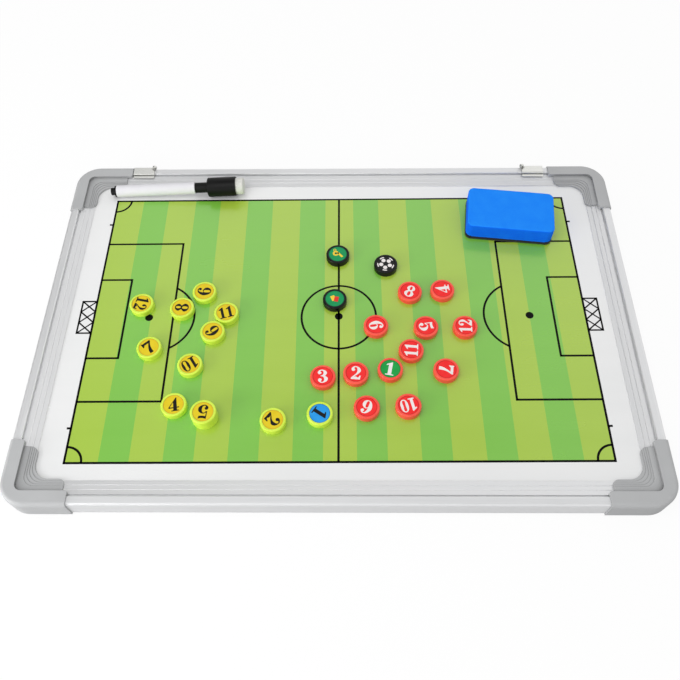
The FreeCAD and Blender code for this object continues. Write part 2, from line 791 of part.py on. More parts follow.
def eraser():
    """The foam eraser: felt base, foam block and a bar magnet let into the foam's underside."""
    felt = new_item("PartDesign::Body", "eraser_felt")
    pad(felt, add_outline(new_sketch(felt, "XY_Plane"), eraser_plan(size.felt_over)), size.felt_thick)

    foam = new_item("PartDesign::Body", "eraser_foam")
    block = pad(foam, add_outline(new_sketch(foam, "XY_Plane", size.felt_thick), eraser_plan(0)), size.foam_thick)
    top = float(size.felt_thick + size.foam_thick)
    edges = [
        f"Edge{index}"
        for index, edge in enumerate(block.Shape.Edges, start=1)
        if abs(edge.BoundBox.ZMin - top) < 1e-6
    ]
    rounded = foam.newObject("PartDesign::Fillet", "eraser_foam_edge")
    rounded.Base = (block, edges)
    bind(rounded, "Radius", size.foam_edge)
    doc.recompute()
    half_bar = size.bar_length / 2 + size.fit_gap
    half_bar_width = size.bar_width / 2 + size.fit_gap
    room = [
        (-half_bar, -half_bar_width),
        (half_bar, -half_bar_width),
        (half_bar, half_bar_width),
        (-half_bar, half_bar_width),
    ]
    room_top = size.felt_thick + size.bar_thick + size.fit_gap
    pocket(foam, add_outline(new_sketch(foam, "XY_Plane", room_top), room), size.bar_thick + size.fit_gap)

    bar = [
        (size.bar_length / -2, size.bar_width / -2),
        (size.bar_length / 2, size.bar_width / -2),
        (size.bar_length / 2, size.bar_width / 2),
        (size.bar_length / -2, size.bar_width / 2),
    ]
    magnet = new_item("PartDesign::Body", "eraser_magnet")
    pad(magnet, add_outline(new_sketch(magnet, "XY_Plane", size.felt_thick), bar), size.bar_thick)
    for piece in (felt, foam, magnet):
        x = half_width - size.eraser_from_right
        y = half_depth - size.eraser_from_back
        place(piece, x, y, face_height, float(size.eraser_yaw))
    return [felt, foam, magnet]


core_bottom = panel_bottom + size.back_thick
nodes = [
    panel_layer("back_sheet", panel_bottom, size.back_thick),
    panel_layer("core_panel", core_bottom, size.core_thick),
    panel_layer("face_sheet", core_bottom + size.core_thick, size.face_thick),
    rail("rail_front", size.frame_width, 0, -half_depth, 0),
    rail("rail_back", size.frame_width, 0, half_depth, 180),
    rail("rail_left", size.frame_depth, -half_width, 0, -90),
    rail("rail_right", size.frame_depth, half_width, 0, 90),
    corner("corner_front_left", -half_width, -half_depth, 0),
    corner("corner_front_right", half_width, -half_depth, 90),
    corner("corner_back_right", half_width, half_depth, 180),
    corner("corner_back_left", -half_width, half_depth, -90),
    corner_screws(),
    hanging_clip("hanging_clip_left", -1, size.clip_left_gap),
    hanging_clip("hanging_clip_right", 1, size.clip_right_gap),
]
nodes += pen()
nodes += eraser()
nodes += counters()
doc.recompute()

for item in doc.Objects:
    if "Invalid" in item.State or "Error" in item.State:
        raise RuntimeError(f"{item.Label} failed: {item.State}")
for node in nodes:
    if node.Shape.isNull() or not node.Shape.isValid() or not node.Shape.Solids:
        raise RuntimeError(f"{node.Label} has no valid solid")

os.makedirs("parts", exist_ok=True)
for node in nodes:
    node.Shape.exportStep(f"parts/{node.Label}.step")
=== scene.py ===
"""Looks of a magnetic tactics board with its counters, marker pen and eraser.

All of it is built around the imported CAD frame.
"""

import json
import math

import bpy
from mathutils import Matrix, Vector

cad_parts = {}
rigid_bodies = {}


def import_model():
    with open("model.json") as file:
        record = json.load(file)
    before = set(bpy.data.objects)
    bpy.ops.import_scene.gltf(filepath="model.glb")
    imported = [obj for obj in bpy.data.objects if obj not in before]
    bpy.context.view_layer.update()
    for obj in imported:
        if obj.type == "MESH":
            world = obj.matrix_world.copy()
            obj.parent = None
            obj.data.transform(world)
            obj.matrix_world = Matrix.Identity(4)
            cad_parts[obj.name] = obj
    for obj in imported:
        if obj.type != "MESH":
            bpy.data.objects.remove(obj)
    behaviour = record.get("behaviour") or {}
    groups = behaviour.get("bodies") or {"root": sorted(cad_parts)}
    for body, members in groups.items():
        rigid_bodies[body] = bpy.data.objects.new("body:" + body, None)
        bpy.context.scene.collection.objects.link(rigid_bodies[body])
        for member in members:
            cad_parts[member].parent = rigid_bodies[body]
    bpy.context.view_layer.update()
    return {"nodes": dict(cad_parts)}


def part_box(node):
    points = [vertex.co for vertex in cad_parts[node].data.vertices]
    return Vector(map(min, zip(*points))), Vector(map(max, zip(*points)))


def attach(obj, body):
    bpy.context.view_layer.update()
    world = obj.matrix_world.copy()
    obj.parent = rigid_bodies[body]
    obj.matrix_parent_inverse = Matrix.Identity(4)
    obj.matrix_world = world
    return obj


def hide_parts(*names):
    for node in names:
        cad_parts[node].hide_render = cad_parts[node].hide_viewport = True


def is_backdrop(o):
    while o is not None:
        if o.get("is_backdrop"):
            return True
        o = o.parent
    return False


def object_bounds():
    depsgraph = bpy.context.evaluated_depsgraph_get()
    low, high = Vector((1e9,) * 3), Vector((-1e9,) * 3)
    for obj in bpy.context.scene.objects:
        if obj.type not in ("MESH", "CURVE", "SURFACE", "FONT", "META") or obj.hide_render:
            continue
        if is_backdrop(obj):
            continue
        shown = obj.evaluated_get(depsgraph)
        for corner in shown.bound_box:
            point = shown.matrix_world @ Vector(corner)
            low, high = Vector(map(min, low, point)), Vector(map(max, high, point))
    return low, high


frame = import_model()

nodes = frame["nodes"]
MM = 0.001


# Panel: a steel face with a white dry-wipe lacquer, a fibreboard core and a thin grey-coated back sheet.
# The three layers are glued into one board, whose edges sit in the slots of the rails.
def srgb(red, green, blue):
    """A colour given in screen values from 0 to 255."""
    shares = [value / 255 for value in (red, green, blue)]
    linear = [s / 12.92 if s <= 0.04045 else ((s + 0.055) / 1.055) ** 2.4 for s in shares]
    return (*linear, 1.0)


def add_node(tree, kind, sockets=(), **settings):
    """One shader node with its settings and the values of its free sockets."""
    made = tree.nodes.new(kind)
    for key, value in settings.items():
        setattr(made, key, value)
    for key, value in dict(sockets).items():
        made.inputs[key].default_value = value
    return made


def wire(tree, start, output, end, entry):
    tree.links.new(start.outputs[output], end.inputs[entry])


def start_effect(name, inputs):
    """An empty effect with a Vector input, named number inputs and the outputs Tone and Height."""
    group = bpy.data.node_groups.new(name, "ShaderNodeTree")
    group.interface.new_socket(name="Vector", in_out="INPUT", socket_type="NodeSocketVector")
    for entry in inputs:
        group.interface.new_socket(name=entry, in_out="INPUT", socket_type="NodeSocketFloat")
    for output in ("Tone", "Height"):
        group.interface.new_socket(name=output, in_out="OUTPUT", socket_type="NodeSocketFloat")
    return group, add_node(group, "NodeGroupInput"), add_node(group, "NodeGroupOutput")


def noise_in(group, entry, scale_input, detail, stretch=(1, 1, 1), turn=0.0):
    """A noise inside an effect, scaled by one of its inputs, drawn out and turned where asked."""
    mapped = add_node(group, "ShaderNodeMapping", {"Rotation": (0, 0, turn), "Scale": stretch})
    noise = add_node(group, "ShaderNodeTexNoise", {"Detail": detail})
    wire(group, entry, "Vector", mapped, "Vector")
    wire(group, mapped, "Vector", noise, "Vector")
    wire(group, entry, scale_input, noise, "Scale")
    return noise


def mix_in(group, first, second, share):
    """Two textures of an effect as one number, with the share of the second."""
    less = add_node(group, "ShaderNodeMath", {1: 1 - share}, operation="MULTIPLY")
    both = add_node(group, "ShaderNodeMath", {1: share}, operation="MULTIPLY_ADD")
    wire(group, first, 0, less, 0)
    wire(group, second, 0, both, 0)
    wire(group, less, "Value", both, 2)
    return both


TONE_RANGE = (0.3, 0.7)
PAINTED_SHADE_RANGE = (0.5, 0.95)
EDGE_SAMPLES = 6
FOLD_SAMPLES = 8


def dress(
    name, effect, values, colours, roughness, bump, plain=(), stretch=(1, 1, 1), soft=0.0, painted_nook_shade=None
):
    """A finish, in which an effect's tone runs between two colours and two roughnesses.

    The effect's height is a fine bump, given by its strength and its depth. soft is the radius that edges
    look rounded by. The last argument is how wide and how dark a painted shade in inner folds is: an
    occlusion test darkens the colour itself there.
    """
    finish = bpy.data.materials.new(name)
    finish.use_nodes = True
    tree = finish.node_tree
    shader = tree.nodes["Principled BSDF"]
    where = add_node(tree, "ShaderNodeTexCoord")
    mapped = add_node(tree, "ShaderNodeMapping", {"Scale": stretch})
    made = add_node(tree, "ShaderNodeGroup", node_tree=effect)
    for key, value in values.items():
        made.inputs[key].default_value = value
    ramp = add_node(tree, "ShaderNodeValToRGB")
    for element, colour, position in zip(ramp.color_ramp.elements, colours, TONE_RANGE):
        element.color = colour
        element.position = position
    gloss = add_node(tree, "ShaderNodeMapRange", {
        "From Min": TONE_RANGE[0], "From Max": TONE_RANGE[1],
        "To Min": roughness[0], "To Max": roughness[1],
    })
    relief = add_node(tree, "ShaderNodeBump", {"Strength": bump[0], "Distance": bump[1]})
    wire(tree, where, "Object", mapped, "Vector")
    wire(tree, mapped, "Vector", made, "Vector")
    wire(tree, made, "Tone", ramp, "Fac")
    wire(tree, made, "Tone", gloss, "Value")
    wire(tree, gloss, "Result", shader, "Roughness")
    wire(tree, made, "Height", relief, "Height")
    wire(tree, relief, "Normal", shader, "Normal")
    if soft:
        edge = add_node(tree, "ShaderNodeBevel", {"Radius": soft}, samples=EDGE_SAMPLES)
        wire(tree, edge, "Normal", relief, "Normal")
    # Painted shade: an occlusion test darkens the base colour itself in inner folds.
    if painted_nook_shade:
        fold = add_node(
            tree, "ShaderNodeAmbientOcclusion", {"Distance": painted_nook_shade[0]},
            only_local=True, samples=FOLD_SAMPLES,
        )
        shade = add_node(tree, "ShaderNodeMapRange", {
            "From Min": PAINTED_SHADE_RANGE[0], "From Max": PAINTED_SHADE_RANGE[1], "To Min": painted_nook_shade[1], "To Max": 1.0,
        })
        painted_shade_colour = add_node(tree, "ShaderNodeVectorMath", operation="SCALE")
        wire(tree, fold, "AO", shade, "Value")
        wire(tree, ramp, "Color", painted_shade_colour, "Vector")
        wire(tree, shade, "Result", painted_shade_colour, "Scale")
        wire(tree, painted_shade_colour, "Vector", shader, "Base Color")
    else:
        wire(tree, ramp, "Color", shader, "Base Color")
    for key, value in dict(plain).items():
        shader.inputs[key].default_value = value
    return finish


def show(node, *finishes):
    """Gives a CAD node its finishes."""
    nodes[node].data.materials.clear()
    for finish in finishes:
        nodes[node].data.materials.append(finish)


speckle, entry, end = start_effect("speckle", ("Cloud", "Grain"))
wire(speckle, noise_in(speckle, entry, "Cloud", detail=3), 0, end, "Tone")
wire(speckle, noise_in(speckle, entry, "Grain", detail=2), 0, end, "Height")

wiped, entry, end = start_effect("wiped", ("Cloud", "Grain", "Streak"))
cloud = noise_in(wiped, entry, "Cloud", detail=3)
streak = noise_in(wiped, entry, "Streak", detail=4, stretch=(0.12, 1, 1), turn=0.5)
wire(wiped, mix_in(wiped, cloud, streak, share=0.45), "Value", end, "Tone")
wire(wiped, noise_in(wiped, entry, "Grain", detail=2), 0, end, "Height")

WIPED = {"Cloud": 9, "Grain": 600, "Streak": 70}
LACQUER_GLOSS = (0.16, 0.3)
LACQUER_BUMP = (0.02, 0.0002)
LACQUER = {"Specular IOR Level": 1.0}


def lacquered(name, dark, light):
    """A colour of the face under its lacquer, with faint marks of wiping."""
    return dress(name, wiped, WIPED, (dark, light), LACQUER_GLOSS, LACQUER_BUMP, LACQUER)


white_lacquer = lacquered("white_lacquer", srgb(232, 233, 233), srgb(238, 238, 238))
fibreboard = dress(
    "fibreboard", speckle, {"Cloud": 260, "Grain": 1500}, (srgb(140, 112, 80), srgb(172, 142, 106)),
    roughness=(0.8, 0.95), bump=(0.4, 0.0004),
)
grey_coat = dress(
    "grey_coat", speckle, {"Cloud": 700, "Grain": 1400}, (srgb(176, 178, 180), srgb(184, 186, 188)),
    roughness=(0.42, 0.52), bump=(0.1, 0.0002),
)
show("face_sheet", white_lacquer)
show("core_panel", fibreboard)
show("back_sheet", grey_coat)


# Printed field: mowing stripes in two greens and black lines, screened onto the face under the lacquer.
# Each ink is a film of a hundredth of a millimetre. The print sits a little askew in its frame, and the
# greens a little askew under the lines.
def start_piece(name):
    """A new piece, left in edit mode with its first face gone, so that its parts can be drawn."""
    bpy.ops.object.select_all(action="DESELECT")
    bpy.ops.mesh.primitive_plane_add(size=1, location=(0, 0, 0))
    piece = bpy.context.object
    piece.name = name
    piece.data.name = name
    bpy.ops.object.mode_set(mode="EDIT")
    bpy.ops.mesh.delete(type="VERT")
    return piece


def rectangle(x, y, width, depth, level):
    """A filled rectangle about a middle point, drawn in edit mode."""
    bpy.ops.mesh.primitive_plane_add(size=1, location=(x, y, level))
    bpy.ops.transform.resize(value=(width, depth, 1), center_override=(x, y, level))


def dot(x, y, radius, level, corners=32):
    """A filled disc, drawn in edit mode."""
    bpy.ops.mesh.primitive_circle_add(
        vertices=corners, radius=radius, fill_type="NGON", location=(x, y, level)
    )


def hoop(x, y, radius, width, level, steps=96):
    """A flat ring about a middle point, drawn in edit mode, with the middle of its line at the radius."""
    inside = radius - width / 2
    bpy.ops.mesh.primitive_circle_add(
        vertices=steps, radius=inside, fill_type="NOTHING", location=(x, y, level)
    )
    bpy.ops.mesh.extrude_edges_move()
    share = (radius + width / 2) / inside
    bpy.ops.transform.resize(value=(share, share, 1), center_override=(x, y, level))


def keep_side(x, y, level, way_x, way_y):
    """Cuts the part last drawn along a line through a point, and keeps the side that is pointed to."""
    bpy.ops.mesh.select_linked()
    bpy.ops.mesh.bisect(
        plane_co=(x, y, level), plane_no=(way_x, way_y, 0), clear_inner=True, clear_outer=False
    )


def turn_drawn(angle, x, y, level):
    """Turns what is selected to the left about an upright line, which the operator calls a minus turn."""
    bpy.ops.transform.rotate(value=-angle, orient_axis="Z", center_override=(x, y, level))


MERGE_REACH = 0.0002 * MM


def end_film(piece, thick, body):
    """Turns a drawn film's faces up, gives it its thickness downwards and lets it ride."""
    bpy.ops.mesh.select_all(action="SELECT")
    bpy.ops.mesh.remove_doubles(threshold=MERGE_REACH)
    bpy.ops.mesh.select_all(action="DESELECT")
    bpy.ops.mesh.select_mode(type="FACE")
    bpy.ops.object.mode_set(mode="OBJECT")
    for face in piece.data.polygons:
        face.select = face.normal.z < 0
    bpy.ops.object.mode_set(mode="EDIT")
    bpy.ops.mesh.flip_normals()
    bpy.ops.mesh.select_mode(type="VERT")
    bpy.ops.object.mode_set(mode="OBJECT")
    film = piece.modifiers.new("film", "SOLIDIFY")
    film.thickness = thick
    film.offset = -1
    bpy.ops.object.modifier_apply(modifier=film.name)
    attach(piece, body)


light_green = lacquered("light_green_ink", srgb(162, 196, 58), srgb(168, 201, 64))
dark_green = lacquered("dark_green_ink", srgb(120, 190, 62), srgb(126, 195, 68))
black_ink = dress(
    "black_ink", wiped, WIPED, (srgb(4, 5, 4), srgb(9, 10, 9)),
    roughness=(0.24, 0.34), bump=LACQUER_BUMP, plain={"Specular IOR Level": 0.1},
)

FACE_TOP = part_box("face_sheet")[1].z
INK = 0.012 * MM
PRINT_TURN = math.radians(0.304)
PRINT_SHIFT = (0.2 * MM, -0.4 * MM, 0)
FIELD_X = 187.93 * MM
FIELD_Y = 117.82 * MM
LIGHT_STRIPE = 23.27 * MM
DARK_STRIPE = 21.11 * MM
STRIPES = 17
STRIPES_START = -188.5 * MM
STRIPES_TURN = math.radians(0.2)

level = FACE_TOP + INK
grass = start_piece("field_stripes")
grass.data.materials.append(light_green)
grass.data.materials.append(dark_green)
rectangle(0, 0, 2 * FIELD_X, 2 * FIELD_Y, level)
stripe_side = (math.cos(STRIPES_TURN), math.sin(STRIPES_TURN), 0)
edge = STRIPES_START
stripe_edges = []
for stripe in range(STRIPES - 1):
    edge += DARK_STRIPE if stripe % 2 else LIGHT_STRIPE
    stripe_edges.append(edge)
    bpy.ops.mesh.select_all(action="SELECT")
    bpy.ops.mesh.bisect(plane_co=(edge, 0, level), plane_no=stripe_side)
bpy.ops.object.mode_set(mode="OBJECT")
for face in grass.data.polygons:
    face.material_index = sum(face.center.x > limit for limit in stripe_edges) % 2
bpy.ops.object.mode_set(mode="EDIT")
bpy.ops.mesh.select_all(action="SELECT")
turn_drawn(PRINT_TURN, 0, 0, level)
bpy.ops.transform.translate(value=PRINT_SHIFT)
end_film(grass, INK, "board")

LINE = 1.65 * MM
BOX_DEPTH = 60.89 * MM
BOX_HALF = 71.39 * MM
GOAL_BOX_DEPTH = 24.14 * MM
GOAL_BOX_HALF = 35.59 * MM
SPOT_X = 145.5 * MM
SPOT = 3.05 * MM
CIRCLE = 28.45 * MM
ARC = 30.85 * MM
ARC_X = 141.6 * MM
CORNER_ARC = 11.75 * MM
TICK = 3 * MM
TICK_Y = 92.0 * MM
NET_DEPTH = 11.0 * MM
NET_HALF = 14.4 * MM
NET_Y = 0.8 * MM
NET_CROSSES = 3
NET_LINE = 1.35 * MM
NET_CORD = 1.15 * MM

level = FACE_TOP + 2 * INK
lines = start_piece("field_lines")
lines.data.materials.append(black_ink)
for hand in (-1, 1):
    rectangle(hand * FIELD_X, 0, LINE, 2 * FIELD_Y + LINE, level)
    rectangle(0, hand * FIELD_Y, 2 * FIELD_X, LINE, level)
    for depth, half in ((BOX_DEPTH, BOX_HALF), (GOAL_BOX_DEPTH, GOAL_BOX_HALF)):
        rectangle(hand * (FIELD_X - depth), 0, LINE, 2 * half + LINE, level)
        for side in (-1, 1):
            rectangle(hand * (FIELD_X - depth / 2), side * half, depth, LINE, level)
    dot(hand * SPOT_X, 0, SPOT, level)
    hoop(hand * ARC_X, 0, ARC, LINE, level)
    keep_side(hand * (FIELD_X - BOX_DEPTH), 0, level, -hand, 0)
    for side in (-1, 1):
        hoop(hand * FIELD_X, side * FIELD_Y, CORNER_ARC, LINE, level)
        keep_side(hand * FIELD_X, 0, level, -hand, 0)
        keep_side(0, side * FIELD_Y, level, 0, -side)
        rectangle(hand * (FIELD_X + TICK / 2), side * TICK_Y, TICK, LINE, level)
        rectangle(hand * (FIELD_X + NET_DEPTH / 2), NET_Y + side * NET_HALF, NET_DEPTH, NET_LINE, level)
    rectangle(hand * (FIELD_X + NET_DEPTH), NET_Y, NET_LINE, 2 * NET_HALF + NET_LINE, level)
    rise = 2 * NET_HALF / NET_CROSSES
    for cross in range(NET_CROSSES):
        middle = (hand * (FIELD_X + NET_DEPTH / 2), NET_Y + (cross + 0.5) * rise - NET_HALF, level)
        for slope in (-1, 1):
            rectangle(middle[0], middle[1], math.hypot(NET_DEPTH, rise), NET_CORD, level)
            turn_drawn(slope * math.atan2(rise, NET_DEPTH), *middle)
rectangle(0, 0, LINE, 2 * FIELD_Y, level)
hoop(0, 0, CIRCLE, LINE, level)
dot(0, 0, SPOT, level)
bpy.ops.mesh.select_all(action="SELECT")
turn_drawn(PRINT_TURN, 0, 0, level)
bpy.ops.transform.translate(value=PRINT_SHIFT)
end_film(lines, INK, "board")


# Rails: extruded aluminium, cut square and drawn lengthwise, so fine lines run along each of them.
# The lip holds the panel's face and the hollow bead outside it stiffens the frame.
drawn, entry, end = start_effect("drawn", ("Cloud", "Grain"))
cloud = noise_in(drawn, entry, "Cloud", detail=3)
streaks = noise_in(drawn, entry, "Grain", detail=2)
wire(drawn, mix_in(drawn, cloud, streaks, share=0.5), "Value", end, "Tone")
wire(drawn, streaks, 0, end, "Height")

RAIL_STRETCH = 0.012
for rail, stretch in (
    ("front", (RAIL_STRETCH, 1, 1)),
    ("back", (RAIL_STRETCH, 1, 1)),
    ("left", (1, RAIL_STRETCH, 1)),
    ("right", (1, RAIL_STRETCH, 1)),
):
    rail_metal = dress(
        f"rail_metal_{rail}", drawn, {"Cloud": 120, "Grain": 2200},
        (srgb(226, 227, 228), srgb(238, 238, 239)),
        roughness=(0.48, 0.62), bump=(0.03, 0.00005), plain={"Metallic": 0.75},
        stretch=stretch, soft=0.2 * MM,
    )
    show(f"rail_{rail}", rail_metal)


# Corner caps: moulded in matt grey plastic and pushed over the ends of two rails.
# The mould leaves a fine even grain, a raised band outside and fine steps down the flange inside.
# The corner plastic carries a painted shade that darkens its folds beside the band and at the fine steps.
corner_plastic = dress(
    "corner_plastic", speckle, {"Cloud": 30, "Grain": 2600}, (srgb(175, 176, 177), srgb(182, 183, 184)),
    roughness=(0.45, 0.6), bump=(0.12, 0.0001), soft=0.4 * MM, painted_nook_shade=(8 * MM, 0.5),
)
for corner in ("front_left", "front_right", "back_right", "back_left"):
    show(f"corner_{corner}", corner_plastic)


# Corner screws: small plated cross-head screws, put in from below, two in each corner.
# They fix the cap to the rails that it is pushed over.
# The screw finish carries a painted shade that darkens its cross recesses.
show("corner_screws", dress(
    "plated_screw", speckle, {"Cloud": 300, "Grain": 2000}, (srgb(190, 190, 188), srgb(216, 215, 212)),
    roughness=(0.2, 0.35), bump=(0.05, 0.0001), plain={"Metallic": 1.0},
    soft=0.1 * MM, painted_nook_shade=(1 * MM, 0.4),
))


# Hanging clips: bright plated spring steel, bent over the back rail's bead, with a rolled eye for a hook.
# They slide along the bead, so fine rubbed lines run along them.
# The clip metal carries a painted shade that darkens its inner bends and the rolled eye.
clip_metal = dress(
    "clip_metal", drawn, {"Cloud": 160, "Grain": 1800}, (srgb(212, 212, 208), srgb(230, 230, 226)),
    roughness=(0.25, 0.36), bump=(0.06, 0.0001), plain={"Metallic": 1.0},
    stretch=(0.05, 1, 1), soft=0.2 * MM, painted_nook_shade=(2 * MM, 0.3),
)
show("hanging_clip_left", clip_metal)
show("hanging_clip_right", clip_metal)


# Counters: a moulded cup with a ferrite magnet in its underside and a round printed label in its top.
# Two teams in lime and red, numbered from 1 to 12, two black ones for officials and one for the ball.
def cup_finish(name, dark, light, plain=()):
    """The moulded plastic of a cup."""
    return dress(
        name, speckle, {"Cloud": 90, "Grain": 2400}, (dark, light),
        roughness=(0.26, 0.38), bump=(0.04, 0.0001), plain=plain, soft=0.3 * MM,
    )


def label_finish(name, dark, light, cloud=220):
    """The printed film of a label."""
    return dress(
        name, speckle, {"Cloud": cloud, "Grain": 1600}, (dark, light),
        roughness=(0.3, 0.42), bump=(0.05, 0.0001), plain={"Specular IOR Level": 0.3},
    )


ferrite = dress(
    "ferrite", speckle, {"Cloud": 400, "Grain": 2500}, (srgb(44, 43, 43), srgb(62, 61, 60)),
    roughness=(0.5, 0.7), bump=(0.2, 0.0001),
)
lime_cup = cup_finish("lime_cup", srgb(208, 236, 66), srgb(216, 244, 78))
red_cup = cup_finish("red_cup", srgb(248, 76, 60), srgb(254, 88, 70))
black_cup = cup_finish("black_cup", srgb(5, 6, 7), srgb(11, 12, 13), {"Specular IOR Level": 0.25})
amber_label = label_finish("amber_label", srgb(224, 195, 18), srgb(230, 205, 30))
blue_label = label_finish("blue_label", srgb(26, 146, 226), srgb(38, 160, 236))
red_label = label_finish("red_label", srgb(242, 34, 36), srgb(248, 46, 46))
green_label = label_finish("green_label", srgb(12, 152, 62), srgb(20, 166, 72))
deep_green_label = label_finish("deep_green_label", srgb(0, 142, 80), srgb(8, 156, 90))
black_label = label_finish("black_label", srgb(4, 4, 5), srgb(9, 9, 10))

team = range(1, 13)
counters = [(f"yellow_counter_{n}", lime_cup, blue_label if n == 1 else amber_label) for n in team]
counters += [(f"red_counter_{n}", red_cup, green_label if n == 1 else red_label) for n in team]
counters += [(f"official_counter_{n}", black_cup, deep_green_label) for n in (1, 2)]
counters += [("ball_counter", black_cup, black_label)]
MAGNET_RADIUS = 6.95 * MM
MAGNET_TOP = 2.85 * MM
LABEL_RADIUS = 7.35 * MM
LABEL_BOTTOM = 0.55 * MM
for node, cup, label in counters:
    show(node, cup, ferrite, label)
    low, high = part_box(node)
    middle = (low + high) / 2
    mesh = nodes[node].data
    for face in mesh.polygons:
        reach = max((mesh.vertices[v].co.xy - middle.xy).length for v in face.vertices)
        heights = [mesh.vertices[v].co.z for v in face.vertices]
        if reach < MAGNET_RADIUS and max(heights) < low.z + MAGNET_TOP:
            face.material_index = 1
        elif reach < LABEL_RADIUS and min(heights) > high.z - LABEL_BOTTOM:
            face.material_index = 2


# Numerals: thick and thin figures with round ends, screened onto the labels, which are stuck in any way
# round. Each figure is drawn 100 high as closed outlines, and a point is smooth unless it is marked as a
# corner.
CORNER = True
SIX = [
    [(40, 100), (52, 93), (57, 81), (47, 70), (37, 80), (42, 91), (37, 93), (24, 74), (22, 55, CORNER),
     (35, 62), (60, 31), (30, 0), (0, 42), (12, 84)],
    [(31, 56), (40, 31), (31, 6), (22, 31)],
]
FIGURES = {
    "0": [
        [(30, 100), (60, 50), (30, 0), (0, 50)],
        [(30, 93), (39, 50), (30, 7), (21, 50)],
    ],
    "1": [
        [(4, 0, CORNER), (4, 7, CORNER), (18, 9, CORNER), (18, 78, CORNER), (4, 74, CORNER),
         (4, 82, CORNER), (34, 100, CORNER), (40, 100, CORNER), (40, 9, CORNER), (54, 7, CORNER),
         (54, 0, CORNER)],
    ],
    "2": [
        [(2, 0, CORNER), (2, 9, CORNER), (17, 27), (33, 47), (38, 70), (28, 93), (18, 86), (24, 74),
         (13, 62), (2, 74), (9, 92), (30, 100), (59, 71), (45, 44), (18, 19, CORNER), (30, 22), (44, 15),
         (54, 30, CORNER), (60, 30, CORNER), (57, 0, CORNER)],
    ],
    "3": [
        [(7, 92), (29, 100), (56, 76), (44, 53, CORNER), (60, 28), (29, 0), (6, 10), (1, 24), (12, 35),
         (23, 24), (17, 11), (27, 7), (38, 28), (28, 48), (17, 50, CORNER), (17, 56, CORNER), (27, 58),
         (36, 76), (27, 93), (17, 88), (23, 77), (12, 66), (1, 77)],
    ],
    "4": [
        [(46, 100, CORNER), (0, 30, CORNER), (0, 22, CORNER), (28, 22, CORNER), (28, 8, CORNER),
         (16, 6, CORNER), (16, 0, CORNER), (60, 0, CORNER), (60, 6, CORNER), (49, 8, CORNER),
         (49, 22, CORNER), (62, 22, CORNER), (62, 30, CORNER), (49, 30, CORNER), (49, 100, CORNER)],
        [(28, 30, CORNER), (28, 66, CORNER), (7, 30, CORNER)],
    ],
    "5": [
        [(8, 100, CORNER), (32, 95), (55, 100, CORNER), (52, 80, CORNER), (30, 79), (13, 81, CORNER),
         (11, 55, CORNER), (31, 64), (60, 32), (28, 0), (6, 10), (1, 25), (12, 36), (23, 25), (17, 11),
         (27, 7), (38, 32), (27, 57), (12, 46), (5, 45, CORNER)],
    ],
    "6": SIX,
    "7": [
        [(1, 102, CORNER), (5, 102, CORNER), (9, 97, CORNER), (61, 97, CORNER), (61, 88, CORNER), (44, 55),
         (37, 20), (37, 0, CORNER), (14, 0, CORNER), (17, 25), (30, 55), (44, 79, CORNER), (16, 79, CORNER),
         (6, 66, CORNER), (1, 66, CORNER)],
    ],
    "8": [
        [(30, 100), (56, 75), (44, 54, CORNER), (60, 27), (30, 0), (0, 27), (16, 53, CORNER), (4, 75)],
        [(30, 93), (38, 76), (31, 58), (22, 76)],
        [(30, 48), (40, 26), (30, 7), (20, 27)],
    ],
    "9": [[(60 - x, 100 - y, *corner) for x, y, *corner in outline] for outline in SIX],
}
FIGURE_MIDDLE = (30, 50)
FIGURE_PITCH = 62
ONE_FIGURE = (0.12 * MM, 0.107 * MM)
TWO_FIGURES = (0.093 * MM, 0.1 * MM)
PRINT = 0.03 * MM
LABEL_DROP = 0.2 * MM
RIM_SHADE_RADIUS = 7.05 * MM
RIM_SHADE_WIDTH = 0.4 * MM
RIM_SHADE_STEPS = 64
CURVE_STEPS = 6


def label_print(name, dark, light):
    """An ink on a label, clouded more finely than the label itself; the same finish gives the painted shade
    ring at a label's rim.
    """
    return label_finish(name, dark, light, cloud=300)


def label_place(low, high):
    """The middle of a counter's box and the height of the top of its print."""
    return (low + high) / 2, high.z - LABEL_DROP + PRINT


def draw_number(number, x, y, level, turn, ink):
    """A number as a flat filled curve, turned about the middle of its label and made a mesh."""
    wide, tall = ONE_FIGURE if len(number) == 1 else TWO_FIGURES
    curve = bpy.data.curves.new("number", "CURVE")
    curve.dimensions = "2D"
    curve.fill_mode = "BOTH"
    curve.resolution_u = CURVE_STEPS
    for place, figure in enumerate(number):
        shift = (place - (len(number) - 1) / 2) * FIGURE_PITCH - FIGURE_MIDDLE[0]
        for outline in FIGURES[figure]:
            spline = curve.splines.new("BEZIER")
            spline.bezier_points.add(len(outline) - 1)
            spline.use_cyclic_u = True
            for point, (across, up, *corner) in zip(spline.bezier_points, outline):
                point.co = ((across + shift) * wide, (up - FIGURE_MIDDLE[1]) * tall, 0)
                point.handle_left_type = "VECTOR" if corner else "AUTO"
                point.handle_right_type = "VECTOR" if corner else "AUTO"
    number_piece = bpy.data.objects.new("number", curve)
    bpy.context.scene.collection.objects.link(number_piece)
    number_piece.location = (x, y, level)
    number_piece.rotation_euler.z = turn
    bpy.ops.object.select_all(action="DESELECT")
    number_piece.select_set(True)
    bpy.context.view_layer.objects.active = number_piece
    bpy.ops.object.convert(target="MESH")
    bpy.ops.object.transform_apply(location=True, rotation=True, scale=True)
    number_piece.data.materials.append(ink)
    return number_piece


black_print = label_print("black_print", srgb(5, 4, 3), srgb(11, 10, 8))
white_print = label_print("white_print", srgb(235, 228, 226), srgb(244, 239, 237))
# The darker rim inks below are painted shade: the shade that the cup's rim casts on its recessed label.
amber_rim_shade = label_print("amber_rim_shade", srgb(214, 166, 38), srgb(222, 178, 46))
blue_rim_shade = label_print("blue_rim_shade", srgb(18, 112, 190), srgb(24, 124, 202))
red_rim_shade = label_print("red_rim_shade", srgb(206, 22, 28), srgb(216, 30, 36))
green_rim_shade = label_print("green_rim_shade", srgb(8, 116, 46), srgb(12, 128, 54))

